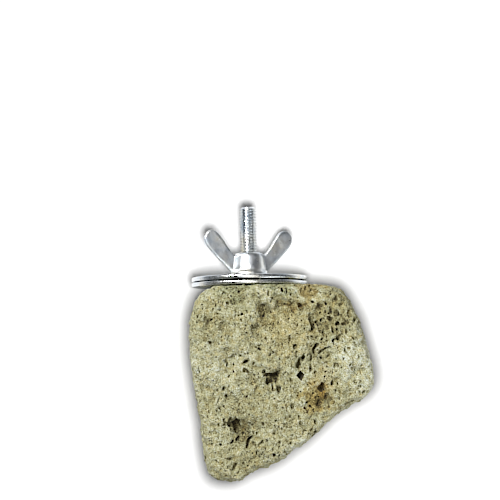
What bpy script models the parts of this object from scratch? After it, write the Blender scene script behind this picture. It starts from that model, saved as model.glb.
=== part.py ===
"""A lava stone for a bird cage, lying on its back, with the stud, washers and wing nut that clamp it.

Metres, +Z up. The stud runs along +Y out of the stone's top end, and +X is to the right of it, seen from
above. The origin is the middle of the whole object's box, on the surface that the stone rests on.
"""

import math

import bmesh
import bpy
from mathutils import Euler, Matrix, Vector, noise

MM = 0.001

# The stone. Its outline is measured from the stud's axis (x) and the seat of the washer (y).
STONE_THICKNESS = 46 * MM
STONE_OUTLINE_MM = (
    (-10.5, 0.8), (-15.3, -1.9), (-18.4, -5.8), (-19.7, -11.3), (-20.1, -15.8), (-19.5, -22.0),
    (-18.6, -33.7), (-16.7, -47.5), (-14.6, -58.8), (-12.8, -62.8), (-8.6, -63.4), (-5.2, -64.3),
    (-1.4, -61.4), (1.7, -60.3), (9.5, -56.8), (16.0, -52.8), (20.7, -49.1), (25.0, -45.2),
    (29.0, -41.7), (33.6, -38.8), (37.1, -37.2), (40.1, -33.4), (40.5, -29.2), (39.4, -24.8),
    (37.8, -16.7), (35.6, -9.0), (32.2, -3.5), (28.4, -0.6), (20.5, 0.4), (8.0, 1.4), (-4.0, 1.4),
)
OUTLINE_STEPS = 3  # points along the smooth outline for each of those above
STONE_MIDDLE = Vector((9.0 * MM, -30.0 * MM))
FRONT_POWER = 4.8  # how boxy the stone's front half is: 2 would be a plain ellipse
BACK_POWER = 3.2
SHOULDER_STEP_DEG = 9
BASE_FLAT = 1.5 * MM  # taken off the back, so that the stone rests
MESH_SIZE = 1.1 * MM
STONE_TRIANGLES = 5600
SOFTEN_ROUNDS = 6
LUMPS = ((19 * MM, 1.1 * MM), (7 * MM, 0.4 * MM))  # size of a lump, and how far it swells or sinks
SURFACE_SEED = Vector((3.7, 1.9, 8.2))
STONE_CREASE_DEG = 50

# Planes that knock the stone's edges off: a point on each, measured like the outline, and its way out.
WORN_FACES_MM = (
    ((36.8, -22.0, 41.0), (0.60, -0.02, 0.80)),
    ((29.5, -3.5, 41.0), (0.45, 0.55, 0.70)),
    ((-17.5, -6.0, 41.0), (-0.55, 0.45, 0.70)),
    ((-8.5, -59.5, 42.5), (-0.15, -0.55, 0.82)),
    ((25.5, -45.5, 41.5), (0.36, -0.50, 0.79)),
    ((33.5, -29.0, 8.0), (0.66, -0.25, -0.71)),
    ((-17.0, -30.0, 8.5), (-0.80, -0.08, -0.60)),
    ((2.0, -52.0, 9.0), (0.10, -0.66, -0.75)),
    ((29.5, -5.0, 7.0), (0.56, 0.44, -0.70)),
)

# The largest hollows of the front, as (x, y), half sizes and the depth of their floor.
HOLLOWS_MM = (
    ((-3.6, -44.5), (2.6, 3.1), 4.4),
    ((21.5, -37.8), (4.2, 4.8), 2.6),
    ((6.0, -30.9), (2.3, 3.4), 2.2),
    ((3.9, -8.7), (1.5, 3.6), 1.6),
)
HOLLOW_OVERRUN_MM = 2.0  # how far a hollow's cutter stands out of the front
HOLLOW_WOBBLE = 0.22  # of its size, so that no hollow is a plain egg
HOLLOW_WOBBLE_SCALE = 1.6

# The M6 stud and what is on it. Neighbours keep a gap, where the real ones touch.
GAP = 0.3 * MM
STUD_RADIUS = 3.0 * MM
STUD_SET_DEPTH = 26 * MM
STUD_FREE_LENGTH = 28 * MM
STUD_CHAMFER = 0.8 * MM
HOLE_RADIUS = STUD_RADIUS + GAP
DRILL_OVERRUN = 3 * MM
WASHER_RADIUS = 20 * MM
WASHER_THICKNESS = 1.5 * MM
WASHER_EDGE = 0.35 * MM
NUT_BASE_RADIUS = 6.4 * MM
NUT_TOP_RADIUS = 5.2 * MM
NUT_HUB_HEIGHT = 8.0 * MM
NUT_COLLAR_HEIGHT = 1.4 * MM
NUT_EDGE = 0.5 * MM
NUT_TURN_DEG = 18
WING_THICKNESS = 2.6 * MM
WING_EDGE = 0.5 * MM
WING_OUTLINE_MM = (
    (4.4, 1.8), (6.8, 2.4), (9.8, 4.8), (12.6, 7.6), (15.2, 10.6), (16.0, 13.6),
    (14.2, 16.0), (11.6, 15.6), (9.6, 13.2), (7.8, 10.4), (6.0, 8.2), (4.4, 6.6),
)
WING_OUTLINE_STEPS = 3
ROUND_STEPS = 72
METAL_CREASE_DEG = 32

ROCK_WASHER_Y = GAP
CLAMP_WASHER_Y = ROCK_WASHER_Y + WASHER_THICKNESS + GAP
NUT_Y = CLAMP_WASHER_Y + WASHER_THICKNESS + GAP
STUD_HEIGHT = STONE_THICKNESS / 2  # of its axis over the resting surface

COLOURS = {
    "pumice": ((0.40, 0.38, 0.23), 0.95, 0.0),
    "zinc": ((0.62, 0.64, 0.66), 0.30, 1.0),
}


def clear_scene():
    for obj in list(bpy.data.objects):
        bpy.data.objects.remove(obj)


def material(name, finish):
    colour, roughness, metallic = COLOURS[finish]
    made = bpy.data.materials.new(name)
    made.use_nodes = True
    shader = made.node_tree.nodes["Principled BSDF"]
    shader.inputs["Base Color"].default_value = (*colour, 1)
    shader.inputs["Roughness"].default_value = roughness
    shader.inputs["Metallic"].default_value = metallic
    return made


def smooth_loop(points, steps):
    """A closed Catmull-Rom curve through the points."""
    count = len(points)
    loop = []
    for i in range(count):
        before, start, end, after = (Vector(points[(i + k) % count]) for k in (-1, 0, 1, 2))
        for step in range(steps):
            t = step / steps
            loop.append(
                0.5 * (2 * start + (end - before) * t
                       + (2 * before - 5 * start + 4 * end - after) * t**2
                       + (3 * start - before - 3 * end + after) * t**3)
            )
    return loop


def object_from(name, bm, finish):
    mesh = bpy.data.meshes.new(name)
    bm.to_mesh(mesh)
    bm.free()
    obj = bpy.data.objects.new(name, mesh)
    bpy.context.scene.collection.objects.link(obj)
    mesh.materials.append(material(name, finish))
    return obj


def apply_modifiers(obj):
    """Replaces the object's mesh by what its modifiers make of it."""
    bpy.context.view_layer.update()
    evaluated = obj.evaluated_get(bpy.context.evaluated_depsgraph_get())
    mesh = bpy.data.meshes.new_from_object(evaluated)
    obj.modifiers.clear()
    obj.data = mesh


def shade(obj, crease_deg):
    """Smooth over the whole object but for edges sharper than that angle."""
    obj.data.shade_smooth()
    obj.data.set_sharp_from_angle(angle=math.radians(crease_deg))


def subtract(obj, cutter):
    cut = obj.modifiers.new("Cut", "BOOLEAN")
    cut.operation = "DIFFERENCE"
    cut.object = cutter
    apply_modifiers(obj)
    bpy.data.objects.remove(cutter)


def slice_off(bm, point, normal):
    """Removes what lies past the plane and closes the cut with a flat face."""
    everything = bm.verts[:] + bm.edges[:] + bm.faces[:]
    cut = bmesh.ops.bisect_plane(
        bm, geom=everything, plane_co=point, plane_no=normal, clear_outer=True
    )
    rim = [piece for piece in cut["geom_cut"] if isinstance(piece, bmesh.types.BMEdge)]
    bmesh.ops.holes_fill(bm, edges=rim)


def stone_block():
    """The stone's outline, drawn in towards the front and the back over a boxy shoulder."""
    outline = [Vector(p) * MM for p in smooth_loop(STONE_OUTLINE_MM, OUTLINE_STEPS)]
    bm = bmesh.new()
    rings = []
    for degrees in range(-90 + SHOULDER_STEP_DEG, 90, SHOULDER_STEP_DEG):
        level = math.sin(math.radians(degrees))
        power = FRONT_POWER if level > 0 else BACK_POWER
        share = (1 - abs(level) ** power) ** (1 / power)
        height = STONE_THICKNESS / 2 * (1 + level)
        ring = [STONE_MIDDLE + (point - STONE_MIDDLE) * share for point in outline]
        rings.append([bm.verts.new((*point, height)) for point in ring])
    count = len(outline)
    for lower, upper in zip(rings, rings[1:]):
        for i in range(count):
            j = (i + 1) % count
            bm.faces.new((lower[i], lower[j], upper[j], upper[i]))
    for ring, height in ((rings[0], 0), (rings[-1], STONE_THICKNESS)):
        pole = bm.verts.new((*STONE_MIDDLE, height))
        for i in range(count):
            bm.faces.new((ring[i], ring[(i + 1) % count], pole))
    bmesh.ops.recalc_face_normals(bm, faces=bm.faces)
    return bm


def hollow_cutter(place, half_size, depth, top):
    """An egg that leaves a hollow of that depth in the front of the stone."""
    bm = bmesh.new()
    bmesh.ops.create_icosphere(bm, subdivisions=3, radius=1)
    reach = depth + HOLLOW_OVERRUN_MM
    size = Vector((*half_size, reach)) * MM
    for vert in bm.verts:
        wobble = 1 + HOLLOW_WOBBLE * noise.noise(vert.co * HOLLOW_WOBBLE_SCALE + Vector((*place, 0)))
        vert.co = Vector(a * b for a, b in zip(vert.co * wobble, size))
    middle = Vector((*place, 0)) * MM + Vector((0, 0, top - depth * MM + reach * MM))
    bmesh.ops.translate(bm, verts=bm.verts, vec=middle)
    return object_from("hollow_cutter", bm, "pumice")


def roughen(mesh):
    """Swells and sinks the surface along its normals, in lumps of each size."""
    normals = [vert.normal.copy() for vert in mesh.vertices]
    for vert, normal in zip(mesh.vertices, normals):
        swell = sum(
            height * noise.noise(vert.co / size + SURFACE_SEED) for size, height in LUMPS
        )
        vert.co += normal * swell


def stud_hole():
    bm = bmesh.new()
    depth = STUD_SET_DEPTH + GAP
    bmesh.ops.create_cone(
        bm, cap_ends=True, segments=ROUND_STEPS // 2, radius1=HOLE_RADIUS, radius2=HOLE_RADIUS,
        depth=depth + DRILL_OVERRUN, matrix=along_y((DRILL_OVERRUN - depth) / 2),
    )
    return object_from("stud_hole", bm, "zinc")


def along_y(middle):
    """Turns a shape made along +Z to lie along +Y at the stud's height, with its middle at that y."""
    return Matrix.Translation((0, middle, STUD_HEIGHT)) @ Euler((-math.pi / 2, 0, 0)).to_matrix().to_4x4()


def lava_rock():
    bm = stone_block()
    for point, normal in WORN_FACES_MM:
        slice_off(bm, Vector(point) * MM, Vector(normal))
    stone = object_from("lava_rock", bm, "pumice")
    for place, half_size, depth in HOLLOWS_MM:
        subtract(stone, hollow_cutter(place, half_size, depth, STONE_THICKNESS))
    skin = stone.modifiers.new("Skin", "REMESH")
    skin.mode = "VOXEL"
    skin.voxel_size = MESH_SIZE
    soften = stone.modifiers.new("Soften", "SMOOTH")
    soften.iterations = SOFTEN_ROUNDS
    apply_modifiers(stone)
    roughen(stone.data)
    thin = stone.modifiers.new("Thin", "DECIMATE")
    stone.data.calc_loop_triangles()
    thin.ratio = STONE_TRIANGLES / len(stone.data.loop_triangles)
    apply_modifiers(stone)
    bm = bmesh.new()
    bm.from_mesh(stone.data)
    slice_off(bm, Vector((0, 0, BASE_FLAT)), Vector((0, 0, -1)))
    slice_off(bm, Vector((0, 0, 0)), Vector((0, 1, 0)))
    bmesh.ops.triangulate(bm, faces=bm.faces)
    bm.to_mesh(stone.data)
    bm.free()
    subtract(stone, stud_hole())
    shade(stone, STONE_CREASE_DEG)
    return stone


def turned(name, profile, finish):
    """A solid of revolution about the stud's axis, from a closed profile of (radius, y) in metres."""
    bm = bmesh.new()
    verts = [bm.verts.new((radius, y, 0)) for radius, y in profile]
    edges = [bm.edges.new((a, b)) for a, b in zip(verts, verts[1:] + verts[:1])]
    bmesh.ops.spin(
        bm, geom=verts + edges, axis=(0, 1, 0), cent=(0, 0, 0), angle=2 * math.pi,
        steps=ROUND_STEPS, use_merge=True,
    )
    bmesh.ops.remove_doubles(bm, verts=bm.verts, dist=1e-6)
    bmesh.ops.recalc_face_normals(bm, faces=bm.faces)
    bmesh.ops.translate(bm, verts=bm.verts, vec=(0, 0, STUD_HEIGHT))
    obj = object_from(name, bm, finish)
    shade(obj, METAL_CREASE_DEG)
    return obj


def threaded_stud():
    """The M6 stud as a plain rod of its outer diameter, set in the stone."""
    bm = bmesh.new()
    length = STUD_SET_DEPTH + STUD_FREE_LENGTH
    bmesh.ops.create_cone(
        bm, cap_ends=True, segments=ROUND_STEPS // 2, radius1=STUD_RADIUS, radius2=STUD_RADIUS,
        depth=length, matrix=along_y(STUD_FREE_LENGTH - length / 2),
    )
    ends = [e for e in bm.edges if abs(e.verts[0].co.y - e.verts[1].co.y) < 1e-6]
    bmesh.ops.bevel(bm, geom=ends, offset=STUD_CHAMFER, segments=1, affect="EDGES")
    obj = object_from("threaded_stud", bm, "zinc")
    shade(obj, METAL_CREASE_DEG)
    return obj


def washer(name, near_y):
    """A wide flat washer whose outer edge is rounded on the side away from the stone."""
    far_y = near_y + WASHER_THICKNESS
    profile = (
        (HOLE_RADIUS, near_y),
        (WASHER_RADIUS, near_y),
        (WASHER_RADIUS, far_y - WASHER_EDGE),
        (WASHER_RADIUS - 0.3 * WASHER_EDGE, far_y - 0.3 * WASHER_EDGE),
        (WASHER_RADIUS - WASHER_EDGE, far_y),
        (HOLE_RADIUS, far_y),
    )
    return turned(name, profile, "zinc")


def wing(side):
    """One wing of the nut, on its +X or -X side, before the nut is turned on the stud."""
    bm = bmesh.new()
    outline = [Vector(p) * MM for p in smooth_loop(WING_OUTLINE_MM, WING_OUTLINE_STEPS)]
    face = bm.faces.new([
        bm.verts.new((side * p.x, NUT_Y + p.y, STUD_HEIGHT - WING_THICKNESS / 2)) for p in outline
    ])
    pushed = bmesh.ops.extrude_face_region(bm, geom=[face])
    moved = [v for v in pushed["geom"] if isinstance(v, bmesh.types.BMVert)]
    bmesh.ops.translate(bm, verts=moved, vec=(0, 0, WING_THICKNESS))
    bmesh.ops.recalc_face_normals(bm, faces=bm.faces)
    rims = [e for e in bm.edges if abs(e.verts[0].co.z - e.verts[1].co.z) < 1e-6]
    bmesh.ops.bevel(bm, geom=rims, offset=WING_EDGE, segments=2, profile=0.5, affect="EDGES")
    return object_from("wing", bm, "zinc")


def wing_nut():
    """The nut's hub, drilled for the stud, with its two wings joined to it."""
    collar = NUT_Y + NUT_COLLAR_HEIGHT
    top = NUT_Y + NUT_HUB_HEIGHT
    profile = (
        (HOLE_RADIUS, NUT_Y),
        (NUT_BASE_RADIUS, NUT_Y),
        (NUT_BASE_RADIUS, collar),
        (NUT_BASE_RADIUS - NUT_EDGE, collar + NUT_EDGE),
        (NUT_TOP_RADIUS, top - NUT_EDGE),
        (NUT_TOP_RADIUS - NUT_EDGE, top),
        (HOLE_RADIUS, top),
    )
    nut = turned("wing_nut", profile, "zinc")
    for side in (1, -1):
        piece = wing(side)
        join = nut.modifiers.new("Join", "BOOLEAN")
        join.operation = "UNION"
        join.object = piece
        apply_modifiers(nut)
        bpy.data.objects.remove(piece)
    axis = Vector((0, 0, STUD_HEIGHT))
    turn = Matrix.Rotation(math.radians(NUT_TURN_DEG), 4, "Y")
    nut.data.transform(Matrix.Translation(axis) @ turn @ Matrix.Translation(-axis))
    shade(nut, METAL_CREASE_DEG)
    return nut


def stand_on_origin(pieces):
    """Hangs the pieces on an empty that puts the middle of their box at the origin, on the ground."""
    corners = [v.co for piece in pieces for v in piece.data.vertices]
    low = Vector(min(c[k] for c in corners) for k in range(3))
    high = Vector(max(c[k] for c in corners) for k in range(3))
    holder = bpy.data.objects.new("lava_rock_origin", None)
    bpy.context.scene.collection.objects.link(holder)
    holder.location = (-(low.x + high.x) / 2, -(low.y + high.y) / 2, -low.z)
    for piece in pieces:
        piece.parent = holder


def main():
    clear_scene()
    stand_on_origin([
        lava_rock(),
        threaded_stud(),
        washer("rock_washer", ROCK_WASHER_Y),
        washer("clamp_washer", CLAMP_WASHER_Y),
        wing_nut(),
    ])
    bpy.context.view_layer.update()


main()
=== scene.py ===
import math

import bpy
import numpy as np
from mathutils import Matrix, Vector, noise
from mathutils.bvhtree import BVHTree


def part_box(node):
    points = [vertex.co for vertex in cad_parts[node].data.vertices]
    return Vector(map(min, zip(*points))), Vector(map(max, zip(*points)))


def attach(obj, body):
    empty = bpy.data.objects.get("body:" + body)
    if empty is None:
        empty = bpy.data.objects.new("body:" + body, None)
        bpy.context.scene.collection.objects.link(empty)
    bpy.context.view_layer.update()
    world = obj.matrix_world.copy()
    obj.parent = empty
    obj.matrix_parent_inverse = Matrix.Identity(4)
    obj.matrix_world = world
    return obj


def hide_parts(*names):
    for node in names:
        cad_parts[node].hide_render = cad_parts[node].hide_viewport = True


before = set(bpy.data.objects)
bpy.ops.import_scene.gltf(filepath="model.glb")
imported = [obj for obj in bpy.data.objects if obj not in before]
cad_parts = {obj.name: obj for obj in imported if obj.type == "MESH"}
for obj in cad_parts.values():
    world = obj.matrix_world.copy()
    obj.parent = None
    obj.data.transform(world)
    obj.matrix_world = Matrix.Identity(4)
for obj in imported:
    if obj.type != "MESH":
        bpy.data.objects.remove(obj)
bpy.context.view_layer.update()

MM = 0.001

# The stud's axis where the washer sits on the stone. Places in mm below are counted from it, and heights from
# the surface that the stone lies on.
stud_low, stud_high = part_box("threaded_stud")
washer_low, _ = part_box("rock_washer")
GAP = 0.3 * MM
SEAT = Vector(((stud_low.x + stud_high.x) / 2, washer_low.y - GAP, (stud_low.z + stud_high.z) / 2))
FACE_HEIGHT_MM = 44.0

# The camera looks down on the stone from this far off the stud's seat.
CAMERA_MM = (7.6, -12.8, 278.0)
CAMERA_TURN_DEG = (5.285, 1.569, -1.096)
LENS_MM = 57.6

SEED = 20


def on_face(x, y, height=FACE_HEIGHT_MM):
    """The place that many mm across and along from the seat, at a height in mm over the floor."""
    return Vector((SEAT.x + x * MM, SEAT.y + y * MM, height * MM))


# Plain steps of modelling

def select_only(obj):
    bpy.ops.object.select_all(action="DESELECT")
    obj.select_set(True)
    bpy.context.view_layer.objects.active = obj


def finish_with(obj, kind, **settings):
    """Adds a modifier of that kind with those settings, and applies it."""
    select_only(obj)
    modifier = obj.modifiers.new(kind.title(), kind)
    for name, value in settings.items():
        setattr(modifier, name, value)
    bpy.ops.object.modifier_apply(modifier=modifier.name)


def edit(obj, how):
    """Runs steps of edit mode on the whole of the object."""
    select_only(obj)
    bpy.ops.object.mode_set(mode="EDIT")
    bpy.ops.mesh.select_all(action="SELECT")
    how()
    bpy.ops.object.mode_set(mode="OBJECT")


def mesh_object(name, points, faces, edges=()):
    mesh = bpy.data.meshes.new(name)
    mesh.from_pydata(points, edges, faces)
    mesh.validate()
    obj = bpy.data.objects.new(name, mesh)
    bpy.context.scene.collection.objects.link(obj)
    return obj


def points_of(mesh):
    flat = np.empty(len(mesh.vertices) * 3, np.float32)
    mesh.vertices.foreach_get("co", flat)
    return flat.reshape(-1, 3).astype(float)


def normals_of(mesh):
    flat = np.empty(len(mesh.vertices) * 3, np.float32)
    mesh.vertices.foreach_get("normal", flat)
    return flat.reshape(-1, 3)


def move_points(mesh, points):
    mesh.vertices.foreach_set("co", points.astype(np.float32).ravel())
    mesh.update()


def triangles_of(mesh):
    mesh.calc_loop_triangles()
    flat = np.empty(len(mesh.loop_triangles) * 3, np.int32)
    mesh.loop_triangles.foreach_get("vertices", flat)
    return flat.reshape(-1, 3)


def remove(obj):
    bpy.data.objects.remove(obj)


def carve(obj, cutter, solver="MANIFOLD"):
    finish_with(obj, "BOOLEAN", operation="DIFFERENCE", solver=solver, object=cutter)
    remove(cutter)


def carve_new(obj):
    """Cuts the shape that was added last out of the object."""
    cutter = bpy.context.object
    bpy.ops.object.transform_apply(location=True, rotation=True, scale=True)
    carve(obj, cutter)


def push(obj, size, reach, noise_depth, cloud_type="GRAYSCALE", direction="NORMAL"):
    """Pushes the surface in and out by a cloudy pattern of that size, or by its colours in all directions."""
    pattern = bpy.data.textures.new("pattern", "CLOUDS")
    pattern.noise_scale = size
    pattern.noise_depth = noise_depth
    pattern.cloud_type = cloud_type
    finish_with(
        obj, "DISPLACE", texture=pattern, texture_coords="LOCAL", direction=direction, strength=reach,
        mid_level=0.5
    )
    bpy.data.textures.remove(pattern)


# The stone's pores, measured on its front face. Each is (x, y, width, length, lean, depth) in mm, the lean of
# its long side in degrees, clockwise from the stud's direction.

HOLLOWS_MM = (
    (-5.3, -44.4, 1.9, 4.8, -6, 4.8), (-4.3, -44.5, 3.3, 5.6, -8, 3.3), (-6.5, -43.2, 1.32, 3.22, 20, 2.2),
    (-8.2, -42.6, 0.84, 1.38, 0, 1.4), (-7.7, -43.8, 1.2, 1.72, 30, 1.2), (-0.9, -46.4, 0.84, 0.8, 0, 0.8),
    (-4.0, -48.4, 1.2, 2.99, 12, 1.6), (-5.6, -49.2, 0.84, 1.95, 15, 1.6), (-0.3, -48.8, 1.44, 2.76, 20, 2.2),
    (-0.8, -50.3, 1.32, 2.18, 15, 2.0), (22.9, -33.2, 2.3, 3.6, 5, 1.8), (20.2, -34.8, 0.84, 0.8, 0, 1.2),
    (20.8, -36.0, 0.84, 0.8, 0, 1.1), (21.8, -35.9, 0.72, 0.69, 0, 0.9), (18.3, -37.5, 0.84, 0.92, 0, 1.1),
    (19.0, -38.7, 0.96, 1.03, -30, 1.2), (18.1, -40.5, 0.84, 1.03, 0, 1.0), (19.8, -39.6, 0.72, 0.92, 0, 1.0),
    (4.8, -27.8, 1.44, 1.38, 0, 1.8), (6.9, -29.1, 4.9, 2.8, -4, 2.1), (5.8, -30.8, 2.0, 2.8, -8, 2.2),
    (7.0, -30.6, 1.68, 2.3, 0, 1.9), (7.55, -32.6, 0.6, 3.22, 0, 1.6), (8.5, -30.6, 1.32, 2.76, 0, 1.9),
    (9.2, -33.0, 1.56, 2.99, 3, 1.8), (8.4, -28.3, 2.4, 0.9, -5, 1.4), (20.8, -14.3, 1.1, 1.5, 0, 1.4),
    (24.2, -21.0, 1.1, 3.2, 54, 1.2), (22.9, -21.9, 1.08, 1.84, 50, 1.2), (-1.3, -24.9, 1.32, 2.99, 50, 1.9),
    (-0.6, -25.3, 2.0, 1.8, 50, 0.5), (-1.4, -27.3, 0.96, 1.72, 45, 1.6), (-0.4, -27.6, 0.96, 1.61, -55, 1.5),
    (26.8, -15.0, 1.08, 2.42, -10, 1.4), (28.3, -17.7, 1.7, 1.5, 45, 2.0), (27.0, -18.1, 1.32, 1.49, 0, 2.0),
)
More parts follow.
